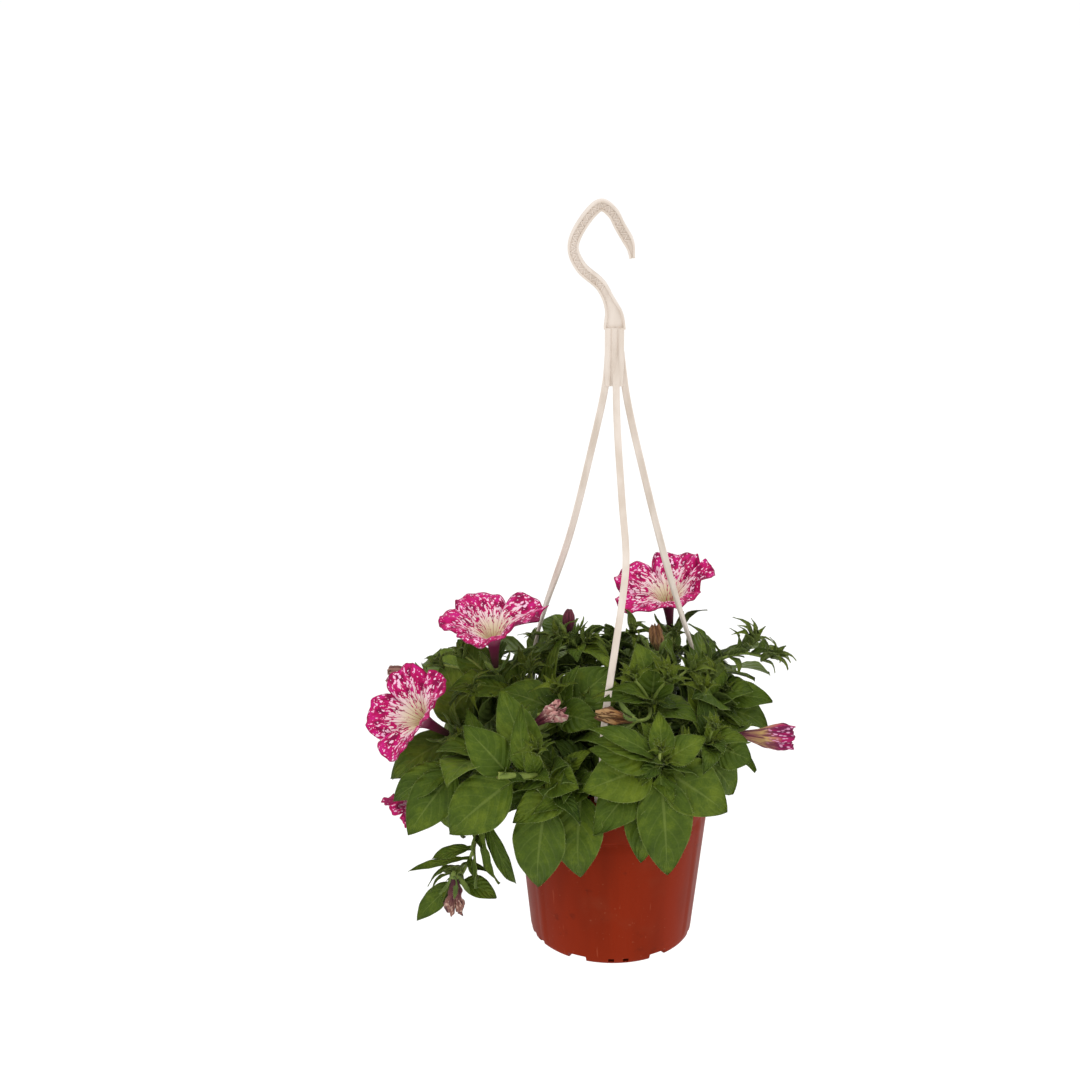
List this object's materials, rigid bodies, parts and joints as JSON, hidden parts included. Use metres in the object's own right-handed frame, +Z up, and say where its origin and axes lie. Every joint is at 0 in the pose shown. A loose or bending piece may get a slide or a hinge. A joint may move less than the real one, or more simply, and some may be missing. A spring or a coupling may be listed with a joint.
{
  "type": "petunia hanging basket",
  "caption": "Flowering petunia in a plastic hanging pot, with a one-piece hanger whose hook carries the pot on flat straps clipped to the rim.",
  "frame": {"origin": "under the hook's bow, where the hanger rests on what carries it", "axes": "+Z up, +X to the right with the hook's mouth on that side, +Y to the back; the front strap is at -Y"},
  "size_m": [0.2881, 0.2387, 0.525],
  "materials": {
    "pot_plastic": "moulded terracotta-coloured plastic, satin",
    "hanger_plastic": "moulded off-white plastic, satin",
    "soil": "dark peat-based potting soil",
    "foliage": "soft matt green leaves and stems with fine hairs",
    "petals": "magenta petals speckled with white, cream in the throat",
    "spent_petals": "dry crumpled petals, brown and pink",
    "bud": "dark purple closed bud"
  },
  "bodies": {
    "root": {"pot": "pot_plastic", "soil": "soil", "hanger": "hanger_plastic", "stem_front_right": "foliage", "stem_front_left": "foliage", "stem_low_front": "foliage", "stem_left_front": "foliage", "stem_trailing": "foliage", "stem_left": "foliage", "stem_left_back": "foliage", "stem_top_left": "foliage", "stem_centre_left": "foliage", "stem_centre_back": "foliage", "stem_top_right": "foliage", "stem_centre_right": "foliage", "stem_right_front": "foliage", "stem_right": "foliage", "stem_right_shoot": "foliage", "stem_right_back": "foliage", "stem_back_right": "foliage", "stem_back_left": "foliage", "stem_back_top": "foliage", "bloom_top_left": "petals", "bloom_top_right": "petals", "bloom_left": "petals", "bloom_low_left": "petals", "bloom_folded": "petals", "spent_bloom_front_left": "spent_petals", "spent_bloom_front": "spent_petals", "spent_bloom_top": "spent_petals", "spent_bloom_left": "spent_petals", "spent_bloom_trailing": "spent_petals", "bud_top": "bud"}
  },
  "joints": []
}
